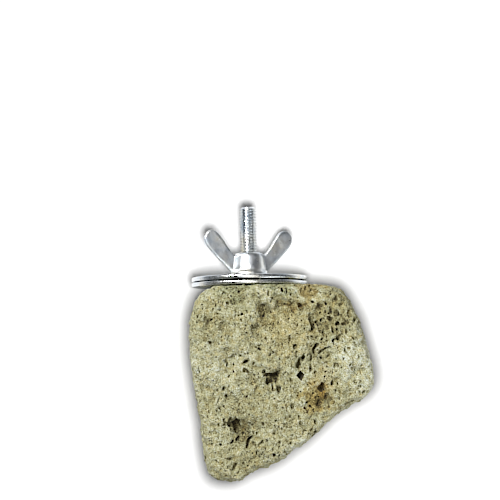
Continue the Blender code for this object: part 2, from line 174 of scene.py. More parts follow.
# A hollow with four straight walls and a slanted floor: (x, y, depth) of its corners
DIAMOND_MM = ((16.2, -27.6, 2.8), (17.5, -28.9, 1.5), (16.5, -31.0, 1.3), (14.9, -29.2, 2.7))
DIAMOND_OVERRUN = 1.5 * MM
PORES_MM = (
    (-6.3, -5.9, 0.7, 1.4, -35, 1.1), (-1.7, -9.6, 0.7, 0.8, 0, 1.0), (-2.8, -9.9, 0.6, 0.6, 0, 0.7),
    (-9.8, -9.3, 0.5, 0.9, -40, 0.7), (-11.8, -11.2, 0.55, 1.0, 50, 0.9), (-12.0, -18.3, 0.7, 0.7, 0, 1.0),
    (-6.2, -12.4, 0.6, 0.9, 0, 0.6), (-4.2, -16.2, 0.5, 0.8, 60, 0.8), (-8.6, -3.8, 0.5, 2.4, -20, 0.3),
    (6.9, -2.5, 0.6, 0.7, 0, 0.9), (8.3, -4.9, 0.7, 1.1, -40, 1.0), (14.0, -5.2, 0.5, 1.7, 60, 0.8),
    (16.6, -6.7, 0.55, 0.9, 40, 0.9), (15.0, -7.0, 0.5, 1.0, 0, 0.6), (17.9, -14.5, 0.5, 1.4, -20, 0.8),
    (15.3, -15.9, 0.6, 0.7, 0, 0.8), (13.4, -17.8, 0.6, 1.3, -15, 0.7), (14.8, -20.0, 1.0, 1.1, 0, 1.2),
    (3.3, -20.8, 0.7, 1.1, -30, 0.9), (7.2, -8.9, 0.6, 1.1, -20, 0.7), (-5.5, -22.8, 0.6, 2.8, 30, 0.6),
    (-5.3, -27.5, 0.6, 1.0, 0, 1.0), (-9.9, -23.3, 0.5, 0.6, 0, 0.6), (-16.0, -27.1, 0.5, 0.9, 0, 0.8),
    (-15.5, -30.3, 0.5, 1.0, -20, 0.7), (-8.1, -33.0, 0.6, 1.5, 30, 1.0), (-9.7, -36.1, 0.65, 2.7, 8, 0.8),
    (-7.1, -35.4, 0.8, 1.3, -20, 1.3), (-6.3, -36.3, 0.5, 0.6, 0, 0.8), (-16.0, -36.6, 0.55, 1.1, -20, 1.0),
    (-15.4, -40.0, 0.6, 0.9, 40, 0.7), (-9.6, -50.5, 0.5, 1.0, -40, 1.0), (-11.1, -52.6, 0.55, 1.1, -25, 1.0),
    (-12.3, -44.2, 0.55, 1.4, 35, 0.8), (-14.0, -46.8, 0.45, 1.2, -60, 0.6), (-6.7, -54.6, 0.8, 1.6, 80, 1.2),
    (-10.8, -55.5, 0.6, 1.0, -30, 1.0), (-5.1, -56.9, 1.1, 2.2, 30, 1.6), (-9.1, -57.7, 0.6, 0.7, 0, 0.7),
    (-4.7, -59.7, 0.6, 0.6, 0, 0.9), (-3.9, -60.1, 0.5, 0.5, 0, 0.8), (4.2, -44.1, 0.55, 1.2, -40, 1.0),
    (7.8, -44.2, 0.5, 1.0, 40, 0.9), (3.5, -49.8, 0.7, 1.6, 40, 1.1), (2.8, -50.7, 0.6, 1.0, 0, 0.8),
    (1.9, -53.0, 0.7, 1.1, 0, 0.9), (4.0, -52.6, 0.5, 1.8, 50, 0.7), (6.5, -50.0, 0.6, 0.6, 0, 0.9),
    (7.5, -53.7, 1.0, 1.4, 0, 1.6), (12.6, -50.4, 0.7, 0.8, 0, 1.0), (5.4, -54.7, 0.6, 0.8, 60, 1.0),
    (5.6, -56.4, 0.5, 1.2, 45, 1.0), (2.5, -57.8, 0.5, 1.2, 50, 1.0), (12.7, -44.2, 0.6, 0.6, 0, 0.9),
    (13.3, -47.5, 0.5, 1.0, 35, 0.8), (20.6, -43.7, 0.9, 1.3, 0, 1.2), (19.3, -46.2, 0.75, 1.5, 15, 1.0),
    (17.4, -46.4, 0.6, 0.7, 0, 0.9), (16.6, -46.8, 0.5, 1.9, 0, 0.6), (20.4, -46.6, 0.5, 1.3, 45, 0.7),
    (13.3, -30.8, 0.6, 1.9, -8, 0.7), (15.8, -25.4, 1.2, 3.0, 5, 1.3), (15.3, -22.5, 0.6, 2.0, 10, 0.8),
    (17.2, -24.0, 0.75, 1.7, 25, 1.1), (19.4, -26.7, 0.75, 2.1, 0, 1.0), (13.8, -25.5, 0.5, 1.6, -15, 0.8),
    (4.0, -25.9, 0.5, 1.0, -40, 1.0), (16.5, -32.4, 0.5, 2.2, 30, 0.7), (18.5, -32.0, 0.6, 0.7, 0, 0.9),
    (20.7, -28.4, 0.7, 0.9, 0, 1.0), (8.2, -36.2, 0.5, 0.7, 0, 0.8), (9.3, -37.5, 0.5, 1.4, 80, 0.6),
    (11.3, -36.1, 0.55, 2.5, 25, 0.8), (13.4, -39.0, 0.85, 1.9, -10, 1.2), (18.0, -37.5, 0.6, 0.6, 0, 1.0),
    (17.6, -39.6, 0.6, 1.5, -45, 1.0), (19.9, -34.8, 0.6, 0.7, 0, 1.6), (28.1, -26.2, 0.6, 1.5, -30, 1.0),
    (26.3, -28.3, 0.6, 0.9, 0, 0.8), (24.1, -28.1, 0.6, 0.6, 0, 0.9), (23.8, -29.8, 0.6, 0.7, 0, 0.9),
    (32.0, -26.2, 0.75, 1.5, 0, 0.7), (35.8, -27.5, 0.5, 1.1, 50, 0.7), (33.4, -31.5, 0.6, 1.3, -35, 0.9),
    (36.1, -34.4, 0.6, 1.3, 30, 1.0), (26.1, -31.7, 0.9, 1.9, 0, 1.3), (27.9, -31.8, 0.7, 1.4, 0, 0.9),
    (30.2, -38.3, 0.7, 0.9, 40, 1.1), (32.0, -37.4, 0.8, 1.1, 60, 1.2), (24.1, -42.7, 0.5, 1.0, 50, 0.8),
    (15.6, -42.3, 0.6, 1.3, 0, 0.7), (36.4, -30.6, 0.6, 0.6, 0, 0.6), (31.5, -28.5, 0.6, 0.6, 0, 0.6),
    (-8.7, -47.0, 0.6, 0.6, 0, 0.6), (-7.9, -50.3, 0.5, 1.0, 0, 0.7), (-9.5, -50.4, 0.5, 0.9, -50, 1.0),
    (0.9, -50.0, 0.7, 0.8, 0, 0.8), (1.5, -50.5, 0.6, 0.9, 0, 0.8), (11.3, -2.1, 0.7, 1.7, 0, 1.4),
    (12.6, -1.9, 0.5, 2.8, 4, 0.8), (6.4, -3.3, 1.1, 1.5, 20, 1.2), (21.8, -1.1, 0.7, 1.2, 80, 0.8),
    (28.1, -4.9, 0.8, 2.3, 25, 1.2), (25.1, -3.5, 0.6, 1.0, 0, 0.6), (28.6, -2.8, 0.5, 1.2, 0, 0.6),
    (24.9, -6.6, 0.7, 1.1, -30, 1.0), (20.7, -6.0, 0.7, 0.8, 60, 1.2), (22.0, -8.6, 0.8, 1.9, 0, 1.2),
    (33.8, -11.7, 1.1, 1.5, -15, 1.4), (30.7, -12.3, 0.6, 2.0, -10, 1.0), (30.0, -13.2, 0.5, 0.8, 0, 0.9),
    (25.9, -11.4, 1.2, 1.3, 0, 1.6), (28.4, -13.1, 1.1, 1.2, 0, 1.8), (23.1, -12.0, 0.7, 0.8, 0, 1.1),
    (21.7, -12.2, 0.6, 0.7, 0, 1.1), (31.0, -15.9, 0.5, 1.0, 0, 1.2), (24.7, -17.0, 0.6, 1.2, 0, 0.7),
    (29.0, -16.9, 0.6, 0.9, 30, 1.0), (33.1, -17.7, 0.6, 1.3, -40, 1.0), (23.4, -18.0, 0.7, 0.7, 0, 0.9),
    (20.4, -17.0, 0.5, 0.9, -30, 0.7), (20.9, -20.7, 0.9, 2.2, 18, 1.6), (21.6, -19.9, 0.5, 1.3, 60, 1.0),
    (20.8, -22.9, 0.6, 1.6, 0, 0.9), (21.6, -22.9, 0.5, 1.4, 0, 0.8), (19.6, -23.3, 0.5, 1.9, 0, 0.8),
    (25.2, -23.3, 0.6, 0.8, 0, 1.0), (23.2, -23.6, 0.7, 0.9, 0, 0.8), (30.5, -21.3, 0.6, 1.6, -10, 0.9),
    (30.9, -22.3, 0.6, 1.0, -30, 0.7), (32.0, -20.9, 0.7, 0.6, 0, 0.8), (27.0, -19.6, 0.5, 0.6, 0, 0.8),
    (35.3, -19.5, 0.6, 0.5, 0, 0.8), (34.9, -23.9, 0.7, 0.9, 0, 0.5), (33.2, -13.3, 0.5, 1.2, 0, 0.7),
    (29.5, -7.2, 0.6, 1.2, 20, 0.6), (32.0, -6.5, 0.5, 0.9, 0, 0.5), (22.8, -4.8, 0.7, 1.0, 50, 0.6),
    (24.6, -9.3, 0.7, 1.0, 0, 0.6), (23.6, -9.8, 0.7, 1.3, 0, 0.6), (25.0, -14.3, 0.7, 1.4, 0, 0.5),
    (29.6, -10.6, 0.6, 1.3, 0, 0.6), (29.9, -15.9, 0.6, 1.3, 0, 0.6), (22.6, -15.2, 0.7, 1.3, 0, 0.5),
    (31.6, -12.9, 0.5, 1.1, -10, 0.6),
)

# Hollows with a soft rim, in the same terms
SOFT_MM = (
    (-2.4, -45.6, 4.6, 5.4, -14, 1.6), (24.5, -36.4, 2.34, 5.25, -14, 1.4),
    (21.6, -38.0, 2.08, 2.75, 20, 1.0),
)
# Shallow cells, in the same terms
CELLS_MM = (
    (-7.6, -45.3, 1.17, 2.12, 25, 0.99), (20.2, -12.2, 2.4, 7.0, -8, 2.4), (17.2, -8.0, 2.3, 2.9, 0, 1.2),
    (26.7, -12.4, 2.08, 2.75, 0, 1.06), (28.2, -15.5, 1.82, 3.0, 0, 1.47), (28.2, -9.9, 1.95, 2.88, 0, 1.47),
    (32.3, -9.7, 2.21, 3.38, -10, 1.47), (31.0, -14.6, 1.95, 2.62, -20, 0.94), (22.9, -8.3, 2.8, 5.6, 5, 2.0),
    (28.4, -13.2, 1.4, 1.4, 0, 1.5), (24.0, -16.1, 1.43, 2.75, 5, 1.73), (26.4, -8.8, 1.69, 2.75, 10, 1.06),
    (-11.6, -12.4, 1.17, 1.5, 0, 0.56), (-8.0, -13.2, 1.17, 1.25, 0, 0.7),
    (-7.7, -20.4, 1.04, 1.38, -20, 1.12), (4.6, -13.4, 1.17, 1.0, 0, 0.85), (17.2, -1.9, 1.17, 1.75, 0, 0.99),
    (-7.2, -24.5, 1.56, 2.12, -30, 1.12), (-3.8, -38.4, 1.04, 1.38, 0, 0.85),
    (-9.2, -38.9, 1.04, 2.12, -60, 1.12), (-13.0, -37.5, 1.04, 1.12, 0, 0.7),
    (7.7, -46.8, 1.3, 1.88, 10, 1.26), (10.5, -52.7, 1.17, 1.62, 0, 1.41), (12.4, -51.6, 1.17, 1.25, 0, 0.99),
    (15.5, -44.1, 1.17, 1.38, 0, 1.26), (2.4, -32.8, 1.43, 2.5, -10, 0.99),
    (11.5, -28.4, 1.04, 1.12, 0, 1.41), (11.4, -42.4, 1.56, 1.75, 0, 0.85),
    (27.2, -26.1, 1.17, 2.12, 0, 1.12), (35.3, -32.7, 1.17, 1.25, 0, 1.55), (33.7, -33.8, 1.43, 2.0, 20, 0.7),
    (18.6, -1.8, 1.3, 1.75, -20, 1.2), (19.9, -1.2, 1.04, 2.25, 85, 1.2), (23.3, -1.7, 1.3, 1.75, 60, 0.67),
    (26.7, -3.0, 1.3, 2.5, 0, 0.8), (27.5, -5.9, 1.17, 1.25, 0, 1.34), (20.8, -7.8, 1.3, 2.12, 0, 1.06),
    (24.1, -11.5, 1.04, 1.0, 0, 1.34), (22.1, -13.3, 1.17, 1.88, -20, 1.34), (30.5, -17.5, 1.3, 1.5, 0, 0.8),
    (36.9, -18.3, 1.04, 1.38, -20, 1.34), (34.9, -15.1, 1.17, 1.62, -70, 0.67),
    (36.2, -23.6, 1.17, 1.88, -45, 0.8),
)

# Soft dents and swellings of the front, with no edge of their own: (x, y, width, length, lean, depth) in mm.
DENTS_MM = (
    (21.6, -36.6, 7.5, 11.0, 4, 1.3), (7.0, -30.2, 6.5, 6.5, 10, 1.5), (-4.6, -45.2, 8.5, 9.0, -10, 1.1),
    (5.3, -8.6, 4.6, 9.4, -32, 2.8), (10.8, -6.2, 4.6, 7.8, -38, 2.3), (14.6, -7.2, 3.2, 4.6, -40, 1.4),
    (17.5, -7.3, 3.2, 4.2, 0, 1.4), (14.6, -4.2, 3.2, 2.4, 60, 0.9), (2.0, -14.5, 3.4, 4.2, 10, 1.6),
    (19.8, -2.6, 8.0, 4.6, -8, 1.5), (25.5, -11.0, 11.0, 13.0, 20, 1.2), (-7.6, -24.2, 4.5, 5.5, -30, 1.0),
    (24.0, -22.9, 4.2, 4.2, 30, 1.3), (0.2, -29.4, 2.8, 2.6, 0, 0.7), (-12.0, -12.5, 6.0, 7.0, 30, 0.6),
    (2.3, -33.4, 2.4, 4.0, 8, 0.8), (16.0, -24.9, 3.4, 5.5, 8, 0.9), (-8.0, -36.5, 5.0, 7.5, 10, 0.9),
    (11.8, -42.2, 3.4, 3.6, -20, 0.8), (-4.6, -57.2, 6.0, 5.0, 30, 1.2), (-6.2, -54.6, 4.0, 2.4, -10, 0.8),
    (4.2, -50.0, 3.2, 3.0, 30, 0.5), (-0.2, -49.8, 3.2, 6.0, 20, 0.5), (31.0, -35.5, 5.0, 5.5, 40, 0.9),
    (26.9, -31.6, 3.2, 4.2, 10, 0.9), (-11.8, -45.0, 3.2, 3.6, 20, 0.8), (8.2, -46.4, 2.4, 3.0, 10, 0.7),
    (14.2, -18.6, 3.6, 4.6, 0, 0.7), (-14.5, -33.5, 4.0, 6.0, -10, 0.7), (34.0, -28.8, 4.0, 5.5, -30, 0.6),
    (2.0, -53.4, 2.6, 3.6, 5, 0.7), (13.0, -30.0, 3.6, 4.0, 0, 0.7), (-4.5, -22.9, 2.4, 4.2, 40, 0.9),
    (26.0, -38.0, 2.0, 9.0, 4, -0.8), (6.5, -25.6, 11.0, 2.4, 8, -0.7), (23.3, -4.0, 2.2, 7.0, 55, -0.7),
    (13.5, -15.0, 8.0, 8.0, 0, -0.5), (-3.5, -18.8, 8.0, 5.0, 20, -0.6), (-1.0, -38.5, 8.0, 5.0, 0, -0.6),
    (31.0, -24.0, 6.0, 10.0, 10, -0.5), (16.8, -35.0, 3.0, 6.0, 0, -0.6), (-13.5, -53.0, 2.2, 6.0, -20, -0.5),
    (18.9, -10.0, 1.6, 6.5, 6, -0.6), (25.6, -19.5, 2.0, 4.0, 50, -0.6), (-5.9, -46.0, 1.0, 5.0, 6, -0.5),
)

PORE_SHAPES = 7
PORE_LUMP = 0.34
# A pore's opening is wider than the dark part that was measured, and its floor deeper.
PORES_WIDER = 1.22
PORES_DEEPER = 1.1
CELLS_WIDER = 0.82
CELLS_DEEPER = 0.58
# Where the measured pores are larger still: x, y and reach in mm, and by what share
CROWDS_MM = ((27.0, -12.0, 9.0, 0.15), (18.5, -23.0, 6.0, 0.35))
# A pore under this area goes in under its rim, and a larger one is an open bowl.
SMALL_PORE_MM2 = 0.9
NARROW_BOWL = 0.7
WIDE_BOWL = 1.1
PORE_TURN = 2.4  # radians from one measured pore's shape to the next

STEEPER = 0.38  # by what share a dent is steeper on the side that the light comes from
DIMPLES = 230
DIMPLE_X_MM = (-17, 39)
DIMPLE_Y_MM = (-61, 0)
# The widths of the random dimples in mm, and their lengths and depths as shares of the width
DIMPLE_WIDTHS_MM = (0.9, 2.4)
DIMPLE_LENGTHS = (1.1, 2.6)
DIMPLE_DEPTHS = (0.06, 0.20)
SQUARER = (2.1, 1.4)  # above 1, the stone's front and back are flatter, and their edges are sharper


def pore_shapes(subdivisions):
    """Lumpy balls of radius 1, which the pores are copies of: the points of each, and their faces."""
    shapes = []
    for number in range(PORE_SHAPES):
        bpy.ops.mesh.primitive_ico_sphere_add(subdivisions=subdivisions, radius=1)
        ball = bpy.context.object
        for vert in ball.data.vertices:
            place = vert.co * 1.3 + Vector((7.1 * number, 3.3, 1.7))
            vert.co *= 1 + PORE_LUMP * noise.noise(place)
        shapes.append((points_of(ball.data), triangles_of(ball.data)))
        remove(ball)
    return shapes


def pore_frame(normal, lean_deg):
    """Axes across and along a pore on a surface with that normal, leaning from the stud's direction."""
    along = Vector((0, 1, 0)) if abs(normal.y) < 0.85 else Vector((0, 0, 1))
    along = (along - normal * along.dot(normal)).normalized()
    along.rotate(Matrix.Rotation(math.radians(-lean_deg), 3, normal))
    return along.cross(normal), along


def pore_points(shape, place, normal, width, length, lean_deg, depth, turn, bowl):
    """A pore whose opening has that width and length, and whose floor lies that deep. The less of a bowl it
    is, the further its sides go in under the rim."""
    across, along = pore_frame(normal, lean_deg)
    half_depth = max(bowl * depth, 0.3 * width)
    raised = half_depth - depth
    opening = math.sqrt(max(1 - (raised / half_depth) ** 2, 0.3))
    spin = np.array(Matrix.Rotation(turn, 3, "Z"))
    size = np.array((width / 2 / opening, length / 2 / opening, half_depth))
    axes = np.array((across, along, normal))
    return (shape @ spin.T * size) @ axes + np.array(place + normal * raised)


def joined(name, solids):
    """One object of all the solids, which are (points, faces)."""
    points, faces, count = [], [], 0
    for solid_points, solid_faces in solids:
        points.append(solid_points)
        faces.append(solid_faces + count)
        count += len(solid_points)
    return mesh_object(name, np.concatenate(points).tolist(), np.concatenate(faces).tolist())


def dent(obj, table):
    """Presses soft dents into the stone's upper side, each steeper on the side that the light comes from."""
    points = points_of(obj.data)
    facing_up = np.clip(normals_of(obj.data)[:, 2] * 1.6, 0, 1)
    tree = surface_tree(obj)
    for x, y, width, length, lean, depth in table:
        middle, _ = seen_place(tree, x, y)
        if middle is None:
            continue
        reach = 0.9 * max(width, length) * MM
        beside = np.abs(points[:, 0] - middle.x) < reach
        near = np.nonzero(beside & (np.abs(points[:, 1] - middle.y) < reach))[0]
        turn = math.radians(lean)
        east, north = points[near, 0] - middle.x, points[near, 1] - middle.y
        across = (east * math.cos(turn) - north * math.sin(turn)) / (width / 2 * MM)
        along = (east * math.sin(turn) + north * math.cos(turn)) / (length / 2 * MM)
        lit_side = (north - east) / np.maximum(np.hypot(east, north) * math.sqrt(2), 1e-9)
        steep = 1 + (STEEPER * lit_side if depth > 0 else 0)
        share = np.exp(-((np.hypot(across, along) * steep) ** 3))
        points[near, 2] -= depth * MM * share * facing_up[near]
    move_points(obj.data, points)


def dimples(rng):
    """Random shallow dents over the front."""
    rows = []
    for _ in range(DIMPLES):
        x, y = rng.uniform(*DIMPLE_X_MM), rng.uniform(*DIMPLE_Y_MM)
        width = rng.uniform(*DIMPLE_WIDTHS_MM)
        lean = rng.normal(-22 if x < 2 else 4, 14)
        length = width * rng.uniform(*DIMPLE_LENGTHS)
        rows.append((x, y, width, length, lean, width * rng.uniform(*DIMPLE_DEPTHS)))
    return rows


def square_up(obj):
    """Flattens the stone's front and back, so that they turn more sharply into its sides. A point of the
    front moves along the camera's ray, which keeps the outline that the camera sees."""
    points = points_of(obj.data)
    middle = SEAT.z
    eye = np.array(SEAT + Vector(CAMERA_MM) * MM)
    for sign, power in zip((1, -1), SQUARER):
        half = (points[:, 2] - middle) * sign > 0
        height = (points[half, 2] - middle) * sign
        most = height.max()
        moved = middle + sign * most * (1 - (1 - height / most) ** power)
        if sign > 0:
            nearer = (eye[2] - moved) / (eye[2] - points[half, 2])
            points[half, :2] = eye[:2] + (points[half, :2] - eye[:2]) * nearer[:, None]
        points[half, 2] = moved
    move_points(obj.data, points)


def surface_tree(obj):
    return BVHTree.FromPolygons(points_of(obj.data).tolist(), triangles_of(obj.data).tolist())


def seen_place(tree, x, y):
    """Where the camera's ray through a place on the front face meets the stone, and the surface's normal."""
    eye = SEAT + Vector(CAMERA_MM) * MM
    ray = (on_face(x, y) - eye).normalized()
    place, normal, _, _ = tree.ray_cast(eye, ray)
    return place, normal


def measured_pores(tree, shapes, table, wider=1.0, deeper=1.0):
    """The solids of a table's pores, each on the surface where the camera sees its place."""
    solids = []
    for number, (x, y, width, length, lean, depth) in enumerate(table):
        place, normal = seen_place(tree, x, y)
        if place is None:
            continue
        crowd = 1.0
        for middle_x, middle_y, reach, larger in CROWDS_MM:
            crowd += larger * math.exp(-((x - middle_x) ** 2 + (y - middle_y) ** 2) / reach**2)
        points, faces = shapes[number % PORE_SHAPES]
        sizes = [value * wider * crowd * MM for value in (width, length)]
        bowl = NARROW_BOWL if width * length < SMALL_PORE_MM2 else WIDE_BOWL
        floor = depth * deeper * crowd * MM
        made = pore_points(points, place, normal, *sizes, lean, floor, PORE_TURN * number, bowl)
        solids.append((made, faces))
    return solids


def scattered(obj, count, rng):
    """Places spread evenly over the surface: the point and the normal of each."""
    points = points_of(obj.data)
    triangles = triangles_of(obj.data)
    a, b, c = (points[triangles[:, k]] for k in range(3))
    normals = np.cross(b - a, c - a)
    areas = np.linalg.norm(normals, axis=1)
    picked = rng.choice(len(triangles), count, p=areas / areas.sum())
    u, v = rng.random(count), rng.random(count)
    fold = u + v > 1
    u[fold], v[fold] = 1 - u[fold], 1 - v[fold]
    places = a[picked] + u[:, None] * (b - a)[picked] + v[:, None] * (c - a)[picked]
    return places, normals[picked] / areas[picked, None]


# How thick the pores lie in patches of the stone: (x, y, height) in mm, reach, and times as many.
PATCHES_MM = (
    ((25.0, -11.0, 40.0), 10.0, 1.1),
    ((20.0, -24.0, 44.0), 7.0, 1.7),
    ((36.0, -27.0, 40.0), 9.0, 0.35),
    ((21.0, -37.0, 44.0), 6.0, 1.8),
    ((-12.0, -25.0, 44.0), 12.0, 0.7),
    ((-5.0, -4.5, 42.0), 7.0, 1.7),
    ((13.0, -15.0, 44.0), 5.0, 0.5),
)
MOST_TIMES = 3.0
LEAN_DEG = 26.0
TRIES = 5  # places drawn for each random pore
# Random pores: how many, least and most width in mm, how much longer than wide at most, depth as a share of
# the width, the least upward normal of the measured front, the share kept there, and how far two may overlap
CAVES = (34, (2.4, 6.5), 0.8, (0.3, 0.8), 0.1, 0.0, 0.2)
HOLES = (900, (0.7, 2.2), 1.2, (0.6, 1.3), 0.3, 0.0, 0.15)
PITS = (9000, (0.30, 0.80), 1.3, (0.35, 1.2), 0.72, 0.95, 0.0)


def thickness_at(place):
    """How many times the usual number of pores lie at this place."""
    times = 1.0
    for (x, y, height), reach, factor in PATCHES_MM:
        away = (place - on_face(x, y, height)).length / (reach * MM)
        times *= 1 + (factor - 1) * math.exp(-away * away)
    return times * max(0.9 + 2.0 * noise.noise(place / (4.5 * MM)), 0.1)


def random_pores(obj, plain_tree, shapes, rng, kind, taken):
    """Pores strewn over the stone, small ones commoner. The plain stone's tree tells where its front is. It
    gives their solids, and `taken` with their places."""
    count, widths_mm, stretch, depth_share, front_normal, front_share, lap = kind
    solids = []
    places, normals = scattered(obj, count * TRIES, rng)
    for place, normal in zip(places, normals):
        if len(solids) >= count:
            break
        spot = Vector(place)
        if spot.y > SEAT.y - widths_mm[1] * MM:
            continue
        chance = thickness_at(spot) / MOST_TIMES
        if plain_tree.find_nearest(spot)[1].z > front_normal:
            chance *= front_share
        width = widths_mm[0] * (widths_mm[1] / widths_mm[0]) ** (rng.random() ** 1.7) * MM
        length = width * (1 + stretch * rng.random())
        lean = 2 * LEAN_DEG * noise.noise(spot / (9 * MM)) + rng.normal(0, 10)
        turn = rng.random() * math.tau
        depth = width * rng.uniform(*depth_share)
        points, faces = shapes[rng.integers(PORE_SHAPES)]
        if rng.random() > chance:
            continue
        gaps = np.linalg.norm(taken[:, :3] - place, axis=1) - taken[:, 3] - length * (0.5 - lap)
        if gaps.min() < 0:
            continue
        taken = np.vstack((taken, (*place, length / 2)))
        made = pore_points(points, spot, Vector(normal), width, length, lean, depth, turn, NARROW_BOWL)
        solids.append((made, faces))
    return solids, taken


def diamond_cutter(tree):
    """The hollow with four straight walls, as a solid from above the surface down to its slanted floor."""
    corners = [seen_place(tree, x, y)[0] for x, y, _ in DIAMOND_MM]
    points = [corner + Vector((0, 0, DIAMOND_OVERRUN)) for corner in corners]
    points += [corner - Vector((0, 0, depth * MM)) for corner, (_, _, depth) in zip(corners, DIAMOND_MM)]
    faces = [(0, 1, 2, 3), (4, 5, 6), (4, 6, 7)]
    faces += [(k, (k + 1) % 4, 4 + (k + 1) % 4, 4 + k) for k in range(4)]
    obj = mesh_object("diamond_cutter", points, faces)
    edit(obj, lambda: bpy.ops.mesh.normals_make_consistent(inside=False))
    return obj


BLOCK_VOXEL = 0.6 * MM
PORE_VOXEL = 0.20 * MM
SKIN_VOXEL = 0.22 * MM
STONE_TRIANGLES = 190000
# The front keeps more triangles than the back, from this height up, over this much height, by this much
FRONT_FROM_MM = 20.0
FRONT_BLEND_MM = 8.0
FRONT_MOST = 0.9
FRONT_LEVELS = 10
FRONT_CARE = 2e-4
# Swellings and shifts of the surface: the pattern's size and how far it pushes, in mm
LUMPS_MM = ((8, 0.85), (3.2, 0.6))
ROUGHNESS_MM = (1.2, 0.30)
SHIFTS_MM = ((2.4, 1.1), (1.0, 0.5))
TRIM_REACH = 90 * MM
DRILL_STEPS = 48
# The relief's rounds of evening out, and how far and along how many rays a point's openness is looked at
FINE_ROUNDS = 4
BROAD_ROUNDS = 40
OPEN_REACH = 2.0 * MM
OPEN_RAYS = 18


def copy_of_node(node, name):
    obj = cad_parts[node].copy()
    obj.data = obj.data.copy()
    obj.name = name
    obj.parent = None
    for key in list(obj.keys()):
        del obj[key]
    obj.data.materials.clear()
    bpy.context.scene.collection.objects.link(obj)
    edit(obj, lambda: bpy.ops.mesh.remove_doubles(threshold=1e-6))
    return obj


def trim_stone(stone):
    """Cuts the stone flat where it lies and where the washer sits, and drills it for the stud."""
    reach = TRIM_REACH
    for middle, size in (
        ((0, 0, -reach / 2), (2 * reach, 2 * reach, reach)),
        ((0, SEAT.y + reach / 2, 0), (2 * reach, reach, 2 * reach)),
    ):
        bpy.ops.mesh.primitive_cube_add(size=1, location=middle, scale=size)
        carve_new(stone)
    radius = (stud_high.x - stud_low.x) / 2 + GAP
    depth = SEAT.y - stud_low.y + GAP
    bpy.ops.mesh.primitive_cylinder_add(
        vertices=DRILL_STEPS, radius=radius, depth=depth * 2, location=SEAT, rotation=(math.pi / 2, 0, 0)
    )
    carve_new(stone)


def store(mesh, name, values):
    attribute = mesh.attributes.new(name, "FLOAT", "POINT")
    attribute.data.foreach_set("value", np.asarray(values, np.float32))


def relief(mesh, rounds):
    """How far each point stands out of the surface round it, in metres. Rounds even that surface out."""
    points = points_of(mesh)
    edges = np.empty(len(mesh.edges) * 2, np.int32)
    mesh.edges.foreach_get("vertices", edges)
    near, far = edges.reshape(-1, 2).T
    number = np.bincount(near, minlength=len(points)) + np.bincount(far, minlength=len(points))
    even = points.copy()
    for _ in range(rounds):
        for axis in range(3):
            values = even[:, axis]
            total = np.bincount(near, values[far], len(points))
            total += np.bincount(far, values[near], len(points))
            even[:, axis] = total / np.maximum(number, 1)
    return ((points - even) * normals_of(mesh)).sum(axis=1)


def open_sky(obj, reach, rays):
    """How open each point lies, from 0, deep in a pore, to 1, on the plain surface."""
    tree = surface_tree(obj)
    points = points_of(obj.data)
    normals = normals_of(obj.data).astype(float)
    golden = math.pi * (3 - math.sqrt(5))
    share = (np.arange(rays) + 0.5) / rays
    ring, height = np.sqrt(share), np.sqrt(1 - share)
    turns = golden * np.arange(rays)
    away = np.where(np.abs(normals[:, 2:]) < 0.9, np.array((0.0, 0, 1)), np.array((1.0, 0, 0)))
    side = np.cross(normals, away)
    side /= np.maximum(np.linalg.norm(side, axis=1), 1e-9)[:, None]
    other = np.cross(normals, side)
    starts = points + normals * 0.03 * MM
    openness = np.zeros(len(points))
    for turn, out, up in zip(turns, ring, height):
        ways = side * (out * math.cos(turn)) + other * (out * math.sin(turn)) + normals * up
        for number, (start, way) in enumerate(zip(starts.tolist(), ways.tolist())):
            gap = tree.ray_cast(start, way, reach)[3]
            openness[number] += 1 if gap is None else gap / reach
    return openness / rays


def thin_out(block):
    """Takes the stone down to its triangles, most of them from the back."""
    front = block.vertex_groups.new(name="front")
    heights = (points_of(block.data)[:, 2] / MM - FRONT_FROM_MM) / FRONT_BLEND_MM
    weights = np.clip(heights, 0, FRONT_MOST)
    for level in range(FRONT_LEVELS):
        chosen = np.nonzero(np.round(weights * FRONT_LEVELS) == level)[0]
        front.add(chosen.tolist(), level / FRONT_LEVELS, "REPLACE")
    ratio = min(1, STONE_TRIANGLES / len(triangles_of(block.data)))
    finish_with(
        block, "DECIMATE", ratio=ratio, vertex_group="front", invert_vertex_group=True,
        vertex_group_factor=FRONT_CARE
    )
    block.vertex_groups.clear()


